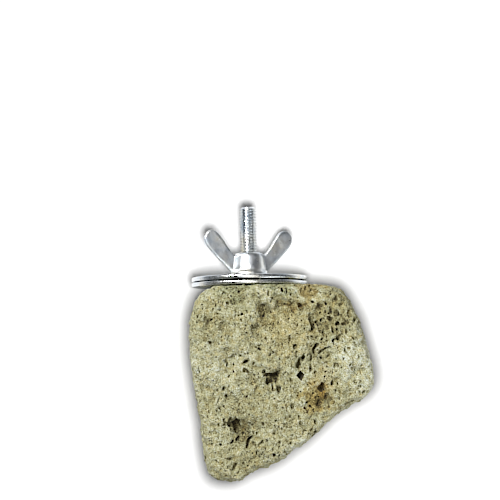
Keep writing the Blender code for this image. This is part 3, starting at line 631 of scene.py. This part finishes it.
def make_stone():
    rng = np.random.default_rng(SEED)
    block = copy_of_node("lava_rock", "lava_rock_block")
    finish_with(block, "REMESH", mode="VOXEL", voxel_size=BLOCK_VOXEL)
    finish_with(block, "SMOOTH", factor=0.5, iterations=6)
    square_up(block)
    smooth_tree = surface_tree(block)
    for size, height in LUMPS_MM:
        push(block, size * MM, height * MM, 2)
    dent(block, DENTS_MM)
    tree = surface_tree(block)
    fine, plain, crude = (pore_shapes(subdivisions) for subdivisions in (3, 2, 1))

    solids = measured_pores(tree, fine, HOLLOWS_MM)
    solids += measured_pores(tree, fine, CELLS_MM, CELLS_WIDER, CELLS_DEEPER)
    solids += measured_pores(tree, plain, PORES_MM, PORES_WIDER, PORES_DEEPER)
    taken = []
    for x, y, width, length, _, _ in HOLLOWS_MM + PORES_MM:
        place, _ = seen_place(tree, x, y)
        if place is not None:
            taken.append((*place, (width + length) / 4 * MM))
    taken = np.array(taken)
    for shapes, kind in ((fine, CAVES), (plain, HOLES)):
        more, taken = random_pores(block, smooth_tree, shapes, rng, kind, taken)
        solids += more
    cutter = joined("pore_cutter", solids)
    finish_with(cutter, "REMESH", mode="VOXEL", voxel_size=PORE_VOXEL)
    carve(block, cutter)
    finish_with(block, "REMESH", mode="VOXEL", voxel_size=SKIN_VOXEL)
    dent(block, SOFT_MM)
    dent(block, dimples(rng))
    push(block, ROUGHNESS_MM[0] * MM, ROUGHNESS_MM[1] * MM, 2)

    solids, taken = random_pores(block, smooth_tree, crude, rng, PITS, taken)
    carve(block, joined("pit_cutter", solids))
    for size, reach in SHIFTS_MM:
        push(block, size * MM, reach * MM, 1, "COLOR", "RGB_TO_XYZ")
    carve(block, diamond_cutter(tree))
    trim_stone(block)
    thin_out(block)
    for vert in block.data.vertices:
        vert.co.z = max(vert.co.z, 0)
        vert.co.y = min(vert.co.y, SEAT.y)
    block.data.validate()
    # Measures that the stone's material turns into painted shade in pores and hollows and painted light on
    # rims
    depths = [(tree.find_nearest(Vector(p))[3] or 0) / MM for p in points_of(block.data)]
    store(block.data, "depth_mm", depths)
    store(block.data, "fine_relief_mm", relief(block.data, FINE_ROUNDS) / MM)
    store(block.data, "broad_relief_mm", relief(block.data, BROAD_ROUNDS) / MM)
    store(block.data, "openness", open_sky(block, OPEN_REACH, OPEN_RAYS))
    block.data.polygons.foreach_set("material_index", np.zeros(len(block.data.polygons), np.int32))
    select_only(block)
    bpy.ops.object.shade_smooth()
    block.name = "lava_rock_skin"
    return block


# The fixing: an M6 stud, two punched washers and a cast wing nut

THREAD_PITCH = 1.0 * MM
THREAD_STEPS = 48
# One turn of the thread: (radius, way along the stud) in mm
THREAD_MM = (
    (2.40, 0.000), (2.39, 0.125), (2.45, 0.190), (2.95, 0.475), (3.00, 0.520), (3.00, 0.600), (2.95, 0.645),
    (2.45, 0.930), (2.40, 1.000),
)
STUD_CHAMFER = 0.8 * MM
# A washer's cross-section from its bore to its rim: (radius, height over its flat side) in mm. The punch has
# drawn the edges of the upper side in, and torn the lower half of the rim.
WASHER_MM = (
    (3.42, 0.00), (3.34, 0.06), (3.32, 0.50), (3.26, 0.58), (3.26, 1.18), (3.34, 1.36), (3.52, 1.47),
    (3.90, 1.50), (19.30, 1.50), (19.62, 1.47), (19.84, 1.36), (19.96, 1.18), (20.00, 0.98), (20.00, 0.66),
    (19.93, 0.60), (19.90, 0.14), (19.84, 0.03), (19.72, 0.00),
)
WASHER_STEPS = 160
# The wing nut, from its flat base: its hub as (radius, height), and one wing's outline as (out, up)
HUB_MM = (
    (0.0, 0.0), (6.30, 0.0), (6.40, 0.25), (6.40, 1.15), (6.10, 1.65), (5.80, 2.2), (5.35, 6.9), (5.10, 7.6),
    (4.60, 8.0), (0.0, 8.0),
)
WING_MM = (
    (2.5, 0.9), (5.6, 0.9), (7.4, 2.5), (9.8, 4.8), (12.6, 7.6), (15.2, 10.6), (15.9, 13.5), (14.2, 15.9),
    (11.7, 15.5), (9.6, 13.1), (7.8, 10.3), (6.0, 8.0), (4.4, 6.7), (2.5, 6.5),
)
WING_STEPS = 6
WING_ROOT = 1.45 * MM
WING_TIP = 1.05 * MM
WING_REACH = 15 * MM
WING_EDGE = 0.75 * MM
NUT_STEPS = 96
NUT_TURN_DEG = 18
NUT_VOXEL = 0.17 * MM
NUT_SOFTENING = 14
NUT_TRIANGLES = 60000
NUT_GRAIN_MM = (3, 0.10)  # of the casting's skin, and how far it pushes
BORE_MM = (
    (0.0, -1.0), (3.6, -1.0), (3.6, 0.0), (3.22, 0.45), (3.22, 7.5), (3.75, 8.05), (3.75, 9.5), (0.0, 9.5),
)
METAL_CREASE_DEG = 32


def turned(name, profile_mm, start, steps, closed=True):
    """A solid turned about the stud's axis from a profile of (radius, way along), which starts at that y."""
    points = [(SEAT.x + radius * MM, start + along * MM, SEAT.z) for radius, along in profile_mm]
    count = len(points)
    edges = [(k, (k + 1) % count) for k in range(count if closed else count - 1)]
    obj = mesh_object(name, points, [], edges)

    def spin():
        bpy.ops.mesh.spin(steps=steps, angle=math.tau, center=SEAT, axis=(0, 1, 0))
        bpy.ops.mesh.select_all(action="SELECT")
        bpy.ops.mesh.remove_doubles(threshold=1e-7)
        bpy.ops.mesh.normals_make_consistent(inside=False)

    edit(obj, spin)
    return obj


def smooth_loop(points, steps):
    """A closed smooth curve through the points."""
    count = len(points)
    loop = []
    for i in range(count):
        before, start, end, after = (Vector(points[(i + k) % count]) for k in (-1, 0, 1, 2))
        for step in range(steps):
            t = step / steps
            loop.append(
                0.5 * (2 * start + (end - before) * t
                       + (2 * before - 5 * start + 4 * end - after) * t**2
                       + (3 * start - before - 3 * end + after) * t**3)
            )
    return loop


def make_stud():
    """A threaded rod: one turn's profile screwed along the axis, closed at both ends and cut to length."""
    length = stud_high.y - stud_low.y
    points = [(radius * MM, along * MM, 0) for radius, along in THREAD_MM]
    stud = mesh_object("stud_thread", points, [], [(k, k + 1) for k in range(len(points) - 1)])
    finish_with(
        stud, "SCREW", angle=math.tau, screw_offset=THREAD_PITCH, axis="Y", steps=THREAD_STEPS,
        render_steps=THREAD_STEPS, iterations=math.ceil(length / THREAD_PITCH) + 4
    )

    def close_and_place():
        bpy.ops.mesh.remove_doubles(threshold=1e-6)
        bpy.ops.mesh.select_all(action="DESELECT")
        bpy.ops.mesh.select_non_manifold()
        bpy.ops.mesh.fill_holes(sides=0)
        bpy.ops.mesh.select_all(action="SELECT")
        bpy.ops.mesh.normals_make_consistent(inside=False)
        bpy.ops.transform.translate(value=(SEAT.x, stud_low.y - 2 * THREAD_PITCH, SEAT.z))

    edit(stud, close_and_place)
    long, wide, cut = (value / MM for value in (length, (stud_high.x - stud_low.x) / 2, STUD_CHAMFER))
    rod_mm = (
        (0, 0), (wide - cut, 0), (wide + 0.5, cut + 0.5), (wide + 0.5, long - cut - 0.5), (wide - cut, long),
        (0, long),
    )
    rod = turned("rod", rod_mm, stud_low.y, 64, False)
    finish_with(stud, "BOOLEAN", operation="INTERSECT", solver="MANIFOLD", object=rod)
    remove(rod)
    return stud


def make_washer(name, node):
    return turned(name, WASHER_MM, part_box(node)[0].y, WASHER_STEPS)


def wing_blank(side, base):
    """One wing, thinner towards its tip and rounded along its edges."""
    outline = smooth_loop(WING_MM, WING_STEPS)
    points = [(SEAT.x + side * p.x * MM, base + p.y * MM, SEAT.z) for p in outline]
    wing = mesh_object("wing", points, [tuple(range(len(points)))])

    def thicken():
        bpy.ops.mesh.extrude_region_move(TRANSFORM_OT_translate={"value": (0, 0, 2 * WING_ROOT)})
        bpy.ops.mesh.select_all(action="SELECT")
        bpy.ops.mesh.normals_make_consistent(inside=False)
        bpy.ops.transform.translate(value=(0, 0, -WING_ROOT))

    edit(wing, thicken)
    for vert in wing.data.vertices:
        out = min(abs(vert.co.x - SEAT.x) / WING_REACH, 1)
        thick = WING_ROOT + (WING_TIP - WING_ROOT) * out
        vert.co.z = SEAT.z + math.copysign(thick, vert.co.z - SEAT.z)
    finish_with(
        wing, "BEVEL", width=WING_EDGE, segments=4, limit_method="ANGLE", angle_limit=math.radians(50),
        use_clamp_overlap=True
    )
    return wing


def make_wing_nut():
    """Hub and wings joined and softened like a casting, then drilled and countersunk."""
    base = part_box("wing_nut")[0].y
    nut = turned("wing_nut_casting", HUB_MM, base, NUT_STEPS, False)
    for side in (1, -1):
        wing = wing_blank(side, base)
        finish_with(nut, "BOOLEAN", operation="UNION", solver="EXACT", object=wing)
        remove(wing)
    finish_with(nut, "REMESH", mode="VOXEL", voxel_size=NUT_VOXEL)
    finish_with(nut, "SMOOTH", factor=0.5, iterations=NUT_SOFTENING)
    push(nut, NUT_GRAIN_MM[0] * MM, NUT_GRAIN_MM[1] * MM, 1)
    carve(nut, turned("bore", BORE_MM, base, NUT_STEPS, False))
    count = len(triangles_of(nut.data))
    finish_with(nut, "DECIMATE", ratio=min(1, NUT_TRIANGLES / count))

    def turn():
        bpy.ops.transform.rotate(
            value=math.radians(-NUT_TURN_DEG), orient_axis="Y", orient_type="GLOBAL", center_override=SEAT
        )

    edit(nut, turn)
    return nut


def shade_metal(obj):
    select_only(obj)
    bpy.ops.object.shade_smooth_by_angle(angle=math.radians(METAL_CREASE_DEG))


# Steps of making a material

def add_node(tree, kind, links=None, **settings):
    """A node with those settings. `links` gives each input, by name or number, a value or an output."""
    made = tree.nodes.new(kind)
    for name, value in settings.items():
        setattr(made, name, value)
    for socket, source in (links or {}).items():
        if isinstance(source, bpy.types.NodeSocket):
            tree.links.new(source, made.inputs[socket])
        else:
            made.inputs[socket].default_value = source
    return made


def maths(tree, operation, first, second=0.0, clamp=False):
    made = add_node(tree, "ShaderNodeMath", {0: first, 1: second}, operation=operation, use_clamp=clamp)
    return made.outputs["Value"]


def plus(tree, total, value, share):
    """The total with that share of the value added."""
    return maths(tree, "ADD", total, maths(tree, "MULTIPLY", value, share))


def clouds(tree, vector, scale, detail, distortion=0.0, output="Fac"):
    made = add_node(
        tree, "ShaderNodeTexNoise",
        {"Vector": vector, "Scale": scale, "Detail": detail, "Distortion": distortion},
    )
    return made.outputs[output]


def between(tree, value, low, high, start=0.0, end=1.0):
    """Takes a value from low..high to start..end, smoothly, and keeps it there."""
    made = add_node(
        tree, "ShaderNodeMapRange",
        {"Value": value, "From Min": low, "From Max": high, "To Min": start, "To Max": end},
        interpolation_type="SMOOTHSTEP",
    )
    return made.outputs["Result"]


def mixed(tree, share, first, second, blend="MIX"):
    made = add_node(tree, "ShaderNodeMix", data_type="RGBA", blend_type=blend)
    for socket, source in (("Factor_Float", share), ("A_Color", first), ("B_Color", second)):
        target = next(entry for entry in made.inputs if entry.identifier == socket)
        if isinstance(source, bpy.types.NodeSocket):
            tree.links.new(source, target)
        else:
            target.default_value = source if socket == "Factor_Float" else (*source, 1)
    return next(entry for entry in made.outputs if entry.identifier == "Result_Color")


def tinted(tree, share, colour, tint):
    return mixed(tree, share, colour, mixed(tree, 1.0, colour, tint, "MULTIPLY"))


def grey(tree, value):
    made = add_node(tree, "ShaderNodeCombineColor", {"Red": value, "Green": value, "Blue": value})
    return made.outputs["Color"]


def new_group(name, inputs, outputs):
    """A node group with those inputs, as {name: usual value}, and outputs: its tree, inputs and output."""
    tree = bpy.data.node_groups.new(name, "ShaderNodeTree")
    for socket, value in inputs.items():
        kind = "NodeSocketVector" if isinstance(value, tuple) else "NodeSocketFloat"
        made = tree.interface.new_socket(socket, in_out="INPUT", socket_type=kind)
        made.default_value = value
    for socket in outputs:
        tree.interface.new_socket(socket, in_out="OUTPUT", socket_type="NodeSocketFloat")
    return tree, tree.nodes.new("NodeGroupInput").outputs, tree.nodes.new("NodeGroupOutput")


def placed(tree, group, **inputs):
    """The group's node in a material, each input named by its words joined with _."""
    made = add_node(tree, "ShaderNodeGroup", node_tree=group)
    for name, source in inputs.items():
        socket = made.inputs[name.replace("_", " ").capitalize()]
        if isinstance(source, bpy.types.NodeSocket):
            tree.links.new(source, socket)
        else:
            socket.default_value = source
    return made.outputs


def mottle_group():
    """Cloudy light and dark of one size in mm, about 0, as strong as asked."""
    tree, given, result = new_group(
        "mottle", {"Vector": (0, 0, 0), "Size": 1.0, "Strength": 1.0, "Detail": 1.0}, ["Value"]
    )
    scale = maths(tree, "DIVIDE", 1 / MM, given["Size"])
    cloud = clouds(tree, given["Vector"], scale, given["Detail"])
    about_zero = maths(tree, "SUBTRACT", cloud, 0.5)
    tree.links.new(maths(tree, "MULTIPLY", about_zero, given["Strength"]), result.inputs["Value"])
    return tree


def patch_group():
    """A patch with a ragged edge, from 1 in its middle to 0 at its reach. All sizes are in metres."""
    tree, given, result = new_group(
        "patch",
        {"Vector": (0, 0, 0), "Middle": (0, 0, 0), "Reach": 0.01, "Ragged": 0.4, "Grain": 0.002},
        ["Mask"],
    )
    away = add_node(
        tree, "ShaderNodeVectorMath", {0: given["Vector"], 1: given["Middle"]}, operation="DISTANCE"
    ).outputs["Value"]
    share = maths(tree, "DIVIDE", away, given["Reach"])
    cloud = clouds(tree, given["Vector"], maths(tree, "DIVIDE", 1.0, given["Grain"]), 3.0)
    reach = maths(tree, "MULTIPLY", given["Ragged"], 4.0)
    ragged = maths(tree, "MULTIPLY", maths(tree, "SUBTRACT", cloud, 0.5), reach)
    tree.links.new(between(tree, maths(tree, "ADD", share, ragged), 1.0, 0.45), result.inputs["Mask"])
    return tree


def scratches_group():
    """Thin curved lines, by the grain's size along each axis in mm."""
    tree, given, result = new_group(
        "scratches", {"Vector": (0, 0, 0), "Grain": (6.0, 0.3, 0.3), "Width": 0.02}, ["Mask"]
    )
    shrunk = add_node(
        tree, "ShaderNodeVectorMath", {0: given["Vector"], 1: given["Grain"]}, operation="DIVIDE"
    ).outputs["Vector"]
    cloud = clouds(tree, shrunk, 1 / MM, 1.0, 0.6)
    off = maths(tree, "ABSOLUTE", maths(tree, "SUBTRACT", cloud, 0.5))
    tree.links.new(between(tree, maths(tree, "DIVIDE", off, given["Width"]), 1.0, 0.2), result.inputs["Mask"])
    return tree


def attribute(tree, name):
    return add_node(tree, "ShaderNodeAttribute", attribute_name=name).outputs["Fac"]


def new_material(name, roughness, metallic=0.0):
    """A material: itself, its tree, its shader and the place on the object."""
    made = bpy.data.materials.new(name)
    made.use_nodes = True
    shader = made.node_tree.nodes["Principled BSDF"]
    shader.inputs["Roughness"].default_value = roughness
    shader.inputs["Metallic"].default_value = metallic
    return made, made.node_tree, shader, add_node(made.node_tree, "ShaderNodeTexCoord").outputs["Object"]


def bump(tree, shader, height, distance, strength):
    made = add_node(
        tree, "ShaderNodeBump", {"Height": height, "Distance": distance, "Strength": strength}
    )
    tree.links.new(made.outputs["Normal"], shader.inputs["Normal"])


def ramp(tree, value, stops):
    """Colours along a value, as (position, colour)."""
    made = add_node(tree, "ShaderNodeValToRGB", {"Fac": value})
    entries = made.color_ramp.elements
    while len(entries) < len(stops):
        entries.new(0.5)
    for entry, (position, colour) in zip(entries, stops):
        entry.position = position
        entry.color = (*colour, 1)
    return made.outputs["Color"]


# The stone's colours, as light that it sends back
STONE_TONES = (
    (0.00, (0.016, 0.013, 0.004)),
    (0.22, (0.085, 0.068, 0.025)),
    (0.45, (0.190, 0.174, 0.079)),
    (0.62, (0.270, 0.258, 0.128)),
    (0.80, (0.345, 0.342, 0.205)),
    (1.00, (0.500, 0.505, 0.400)),
)
# Patches: (x, y, height) in mm, reach, how much lighter in tone, colour that multiplies the stone's,
# strength. Some are real stains and tints; those sunk into hollows, cells and dents are painted shade there,
# and the pale facet's is partly painted light.
STAIN_AND_SHADE_PATCHES = (
    ((12.0, -14.0, 44.0), 10.0, 0.00, (1.06, 0.97, 0.80), 0.7),
    ((20.8, -36.8, 43.0), 6.0, -0.14, (1.02, 0.87, 0.58), 1.0),
    ((23.6, -35.0, 41.0), 3.2, -0.12, (1.00, 0.92, 0.70), 1.0),
    ((23.5, -30.5, 44.0), 6.0, -0.02, (1.04, 0.95, 0.82), 0.7),
    # Darker floors of the middle pit, the soft dents at the top and two cells: painted shade in them, with
    # some brown stain
    ((6.9, -29.4, 41.0), 3.0, -0.20, (1.00, 0.97, 0.84), 1.0),
    ((4.6, -8.6, 41.6), 3.0, -0.21, (1.00, 0.97, 0.86), 1.0),
    ((10.0, -6.2, 41.6), 2.8, -0.19, (1.00, 0.97, 0.86), 1.0),
    ((14.8, -6.2, 42.2), 3.0, -0.12, (1.02, 0.96, 0.84), 1.0),
    ((20.2, -12.2, 41.0), 3.0, -0.16, (1.00, 0.96, 0.84), 1.0),
    ((22.9, -8.6, 41.2), 2.6, -0.12, (1.00, 0.96, 0.84), 1.0),
    ((-2.8, -45.2, 40.6), 3.0, 0.0, (1.00, 0.96, 0.82), 1.0),
    # Painted shade: nearly black in the deep hollow and in the hollow with four walls
    ((-5.5, -43.9, 38.6), 3.2, -0.32, (1.00, 0.95, 0.80), 1.0),
    ((16.6, -29.6, 42.0), 2.3, -0.36, (1.00, 0.95, 0.80), 1.0),
    # Lighter and bluer on the facet at the right: partly paler stone, partly painted light where the facet
    # turns away from the key light
    ((35.5, -26.0, 40.0), 13.0, 0.19, (1.03, 1.05, 1.10), 1.0),
    ((26.0, -10.5, 42.0), 9.5, -0.10, (0.97, 0.94, 0.84), 0.9),
    # Darker, greener top edge under the washers: painted shade there, with a greenish tint
    ((-3.0, 1.0, 40.0), 10.0, -0.26, (0.94, 1.02, 1.06), 0.8),
    ((9.0, 1.0, 40.0), 8.0, -0.20, (0.94, 1.02, 1.04), 0.8),
    ((19.5, -2.2, 40.0), 6.0, -0.10, (0.98, 0.83, 0.60), 0.9),
    ((-10.0, -28.0, 44.0), 14.0, 0.06, (1.00, 1.01, 1.05), 0.7),
    ((14.0, -50.0, 38.0), 14.0, 0.06, (1.00, 1.00, 1.00), 1.0),
)
PLAIN_TONE = 0.56
# Cloudy light and dark: size in mm, strength, detail
MOTTLES = ((14.0, 0.40, 2.0), (4.0, 0.22, 2.0), (1.5, 0.12, 2.0), (0.6, 0.34, 1.0), (0.27, 1.0, 0.0))
# What the mesh's own measures do to the tone: attribute, from, to, start, end, strength. This is painted
# light and shade: rims and ridges lighter (painted light with some pale dust), broad hollows darker, pores
# darker the less open they lie, and deep places darker (painted shade with some brown stain).
SURFACE_LIGHT_SHADE_AND_STAIN = (
    ("fine_relief_mm", -0.45, 0.30, -0.5, 0.5, 0.26),
    ("broad_relief_mm", -1.1, 0.75, -0.5, 0.5, 0.15),
    ("openness", 0.70, 0.10, 0.0, 1.0, -0.25),
    ("depth_mm", 0.3, 1.5, 0.0, 1.0, -0.16),
)
# Dark specks, and light ones with a size under 0: size in mm, level of the noise, change of tone. The dark
# specks are painted shade of pits too small to build, with a dent in the bump.
SPECKS = ((0.8, 0.345, -0.36), (0.45, 0.35, -0.46), (-0.5, 0.64, 0.22))

ZINC_SHEEN = (
    (0.00, (0.50, 0.56, 0.62)),
    (0.45, (0.66, 0.69, 0.71)),
    (0.75, (0.70, 0.71, 0.69)),
    (1.00, (0.70, 0.68, 0.60)),
)


def pumice_material(mottle, patch):
    """Rough stone whose tone comes from clouds, its own relief, openness and depth (painted light on rims,
    painted shade in hollows and pores), specks and patches, and gives its colour.
    """
    material, tree, shader, place = new_material("pumice", 0.92)
    tone = PLAIN_TONE
    for size, strength, detail in MOTTLES:
        cloud = placed(tree, mottle, vector=place, size=size, strength=strength, detail=detail)["Value"]
        tone = maths(tree, "ADD", cloud, tone)
    # Painted light on rims and painted shade in hollows and pores, from the mesh's own measures
    for name, low, high, start, end, strength in SURFACE_LIGHT_SHADE_AND_STAIN:
        tone = plus(tree, tone, between(tree, attribute(tree, name), low, high, start, end), strength)
    wobble = clouds(tree, place, 1.6 / MM, 1.0, output="Color")
    push_by = (0.9 * MM,) * 3
    pushed = add_node(
        tree, "ShaderNodeVectorMath", {0: wobble, 1: push_by, 2: place}, operation="MULTIPLY_ADD"
    ).outputs["Vector"]
    crowd = placed(tree, mottle, vector=place, size=3.5, strength=0.22, detail=1.0)["Value"]
    # Dark specks: painted shade of tiny pits
    for size, level, strength in SPECKS:
        specks = clouds(tree, pushed, 1 / (abs(size) * MM), 1.0, 0.4)
        if size > 0:
            mark = between(tree, maths(tree, "ADD", specks, crowd), level, level - 0.04)
        else:
            mark = between(tree, specks, level, level + 0.05)
        tone = plus(tree, tone, mark, strength)
    # The patches: stains and tints, and painted shade in hollows, cells, dents and under the washers
    masks = []
    for (x, y, height), reach, lift, _, strength in STAIN_AND_SHADE_PATCHES:
        mask = placed(
            tree, patch, vector=place, middle=tuple(on_face(x, y, height)), reach=reach * MM,
            ragged=0.5, grain=3 * MM
        )["Mask"]
        masks.append(maths(tree, "MULTIPLY", mask, strength))
        tone = plus(tree, tone, masks[-1], lift)
    colour = ramp(tree, tone, STONE_TONES)
    for mask, (_, _, _, tint, _) in zip(masks, STAIN_AND_SHADE_PATCHES):
        colour = tinted(tree, mask, colour, tint)
    warm = placed(tree, mottle, vector=place, size=1.6, strength=2.4, detail=3.0)["Value"]
    for most, tint in ((0.6, (1.07, 0.97, 0.78)), (-0.6, (0.96, 1.01, 1.13))):
        colour = tinted(tree, between(tree, warm, 0.0, most), colour, tint)
    tree.links.new(colour, shader.inputs["Base Color"])
    bump(tree, shader, tone, 0.25 * MM, 0.8)
    return material


def zinc_material(name, mottle, scratches, dull, cast):
    """Zinc plating with a faint blue and yellow sheen, rubbed, spotted and scratched, and bumpy if cast."""
    material, tree, shader, place = new_material(name, dull, 1.0)
    cloud = placed(tree, mottle, vector=place, size=5.0, strength=2.2, detail=2.0)["Value"]
    colour = ramp(tree, maths(tree, "ADD", cloud, 0.5), ZINC_SHEEN)
    stain = placed(tree, mottle, vector=place, size=1.1, strength=1.0, detail=3.0)["Value"]
    spots = between(tree, stain, 0.12, 0.22)
    colour = mixed(tree, maths(tree, "MULTIPLY", spots, 0.55), colour, (0.42, 0.43, 0.42))
    lines = placed(tree, scratches, vector=place, grain=(5.0, 0.5, 0.25), width=0.02)["Mask"]
    more = placed(tree, scratches, vector=place, grain=(0.35, 4.0, 3.0), width=0.012)["Mask"]
    lines = maths(tree, "MAXIMUM", lines, more)
    cloud = placed(tree, mottle, vector=place, size=1.6, strength=0.30, detail=2.0)["Value"]
    rough = plus(tree, maths(tree, "ADD", cloud, dull), spots, 0.16)
    rough = plus(tree, rough, lines, 0.12)
    tree.links.new(colour, shader.inputs["Base Color"])
    tree.links.new(rough, shader.inputs["Roughness"])
    grain = placed(tree, mottle, vector=place, size=0.45, strength=cast, detail=2.0)["Value"]
    bump(tree, shader, plus(tree, grain, lines, -0.10), 0.1 * MM, 0.6)
    return material


# The floor's painted shade near the stone and its painted glow far out: from and to, in metres from the
# middle
SHADE_GREY_RANGE = (0.030, 0.120)
GLOW_RANGE = (0.14, 0.32)


def paper_material():
    """White paper, greyer in the middle, where the light over it is close, as painted shade under and round
    the stone, and glowing where none falls, as painted light.
    """
    material, tree, shader, place = new_material("floor_paper", 0.9)
    away = add_node(tree, "ShaderNodeVectorMath", {0: place}, operation="LENGTH").outputs["Value"]
    colour = grey(tree, between(tree, away, *SHADE_GREY_RANGE, 0.65, 0.95))
    tree.links.new(colour, shader.inputs["Base Color"])
    glow = grey(tree, between(tree, away, *GLOW_RANGE))
    tree.links.new(glow, shader.inputs["Emission Color"])
    shader.inputs["Emission Strength"].default_value = 1.0
    return material


def make_camera():
    data = bpy.data.cameras.new("camera")
    data.lens = LENS_MM
    camera = bpy.data.objects.new("camera", data)
    camera.location = SEAT + Vector(CAMERA_MM) * MM
    camera.rotation_euler = [math.radians(turn) for turn in CAMERA_TURN_DEG]
    bpy.context.scene.collection.objects.link(camera)
    bpy.context.scene.camera = camera


def make_light(name, place, radius, watts, target):
    data = bpy.data.lights.new(name, "AREA")
    data.shape = "DISK"
    data.size = 2 * radius
    data.energy = watts
    light = bpy.data.objects.new(name, data)
    light.location = place
    light.rotation_euler = (Vector(target) - Vector(place)).to_track_quat("-Z", "Y").to_euler()
    light.visible_camera = False
    bpy.context.scene.collection.objects.link(light)
    return light


def light_only(lights, floor, on_floor):
    """Those lights, or a piece that glows, fall on the floor alone or on everything but the floor."""
    lit = bpy.data.collections.new("lit_floor" if on_floor else "lit_object")
    lit.objects.link(floor)
    if not on_floor:
        lit.collection_objects[0].light_linking.link_state = "EXCLUDE"
    for light in lights:
        light.light_linking.receiver_collection = lit


# Lights for the object and for the floor: name, place, radius, watts and the place it points at, in metres
OBJECT_LIGHTS = (
    ("key_light", (-0.26, 0.28, 0.47), 0.05, 5.0, (0, 0, 0.02)),
    ("fill_light", (0.36, -0.26, 0.34), 0.20, 0.90, (0, 0, 0.02)),
    ("top_light", (0.0, 0.0, 0.70), 0.20, 0.9, (0, 0, 0.02)),
    ("side_light", (0.085, -0.02, 0.070), 0.03, 0.016, (0.022, -0.008, 0.035)),
    ("low_light", (0.045, -0.08, 0.070), 0.03, 0.014, (0.010, -0.030, 0.035)),
)
FLOOR_LIGHTS = (
    ("floor_light", (-0.0014, -0.002, 0.213), 0.017, 0.88, (-0.0014, -0.002, 0)),
    ("left_floor_light", (-0.08, 0.13, 0.08), 0.02, 0.017, (-0.08, 0.13, 0)),
    ("right_floor_light", (0.085, 0.13, 0.08), 0.02, 0.011, (0.085, 0.13, 0)),
)
SURROUNDING = 0.12
FLOOR_SIZE = 14
CRISPNESS = 0.04


def make_studio():
    bpy.ops.mesh.primitive_plane_add(size=FLOOR_SIZE)
    floor = bpy.context.object
    floor.name = "floor"
    floor.data.materials.append(paper_material())
    light_only([make_light(*light) for light in OBJECT_LIGHTS], floor, False)
    light_only([make_light(*light) for light in FLOOR_LIGHTS] + [floor], floor, True)
    world = bpy.data.worlds.new("studio")
    bpy.context.scene.world = world
    world.use_nodes = True
    tree = world.node_tree
    soft = tree.nodes["Background"]
    soft.inputs["Color"].default_value = (1, 1, 1, 1)
    soft.inputs["Strength"].default_value = SURROUNDING
    pale = add_node(tree, "ShaderNodeBackground", {"Color": (1, 1, 1, 1), "Strength": 1.0})
    seen = add_node(tree, "ShaderNodeLightPath").outputs["Is Camera Ray"]
    both = add_node(
        tree, "ShaderNodeMixShader", {0: seen, 1: soft.outputs["Background"], 2: pale.outputs["Background"]}
    )
    tree.links.new(both.outputs["Shader"], tree.nodes["World Output"].inputs["Surface"])
    bpy.context.scene.view_settings.view_transform = "Standard"
    bpy.context.scene.use_nodes = True
    tree = bpy.context.scene.node_tree
    picture = next(node for node in tree.nodes if node.type == "R_LAYERS").outputs["Image"]
    crisp = add_node(
        tree, "CompositorNodeFilter", {"Fac": CRISPNESS, "Image": picture}, filter_type="SHARPEN"
    )
    result = next(node for node in tree.nodes if node.type == "COMPOSITE")
    tree.links.new(crisp.outputs["Image"], result.inputs["Image"])


def finish_piece(piece, material, node):
    """Gives the piece its material, and puts it in the place of that node."""
    piece.data.materials.clear()
    piece.data.materials.append(material)
    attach(piece, "root")
    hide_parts(node)


make_camera()
make_studio()
mottle = mottle_group()
patch = patch_group()
scratches = scratches_group()
stone = make_stone()
finish_piece(stone, pumice_material(mottle, patch), "lava_rock")
plate = zinc_material("zinc_plate", mottle, scratches, 0.24, 0.25)
casting = zinc_material("zinc_casting", mottle, scratches, 0.34, 0.9)
for piece, material, node in (
    (make_stud(), plate, "threaded_stud"),
    (make_washer("rock_washer_plate", "rock_washer"), plate, "rock_washer"),
    (make_washer("clamp_washer_plate", "clamp_washer"), plate, "clamp_washer"),
    (make_wing_nut(), casting, "wing_nut"),
):
    shade_metal(piece)
    finish_piece(piece, material, node)
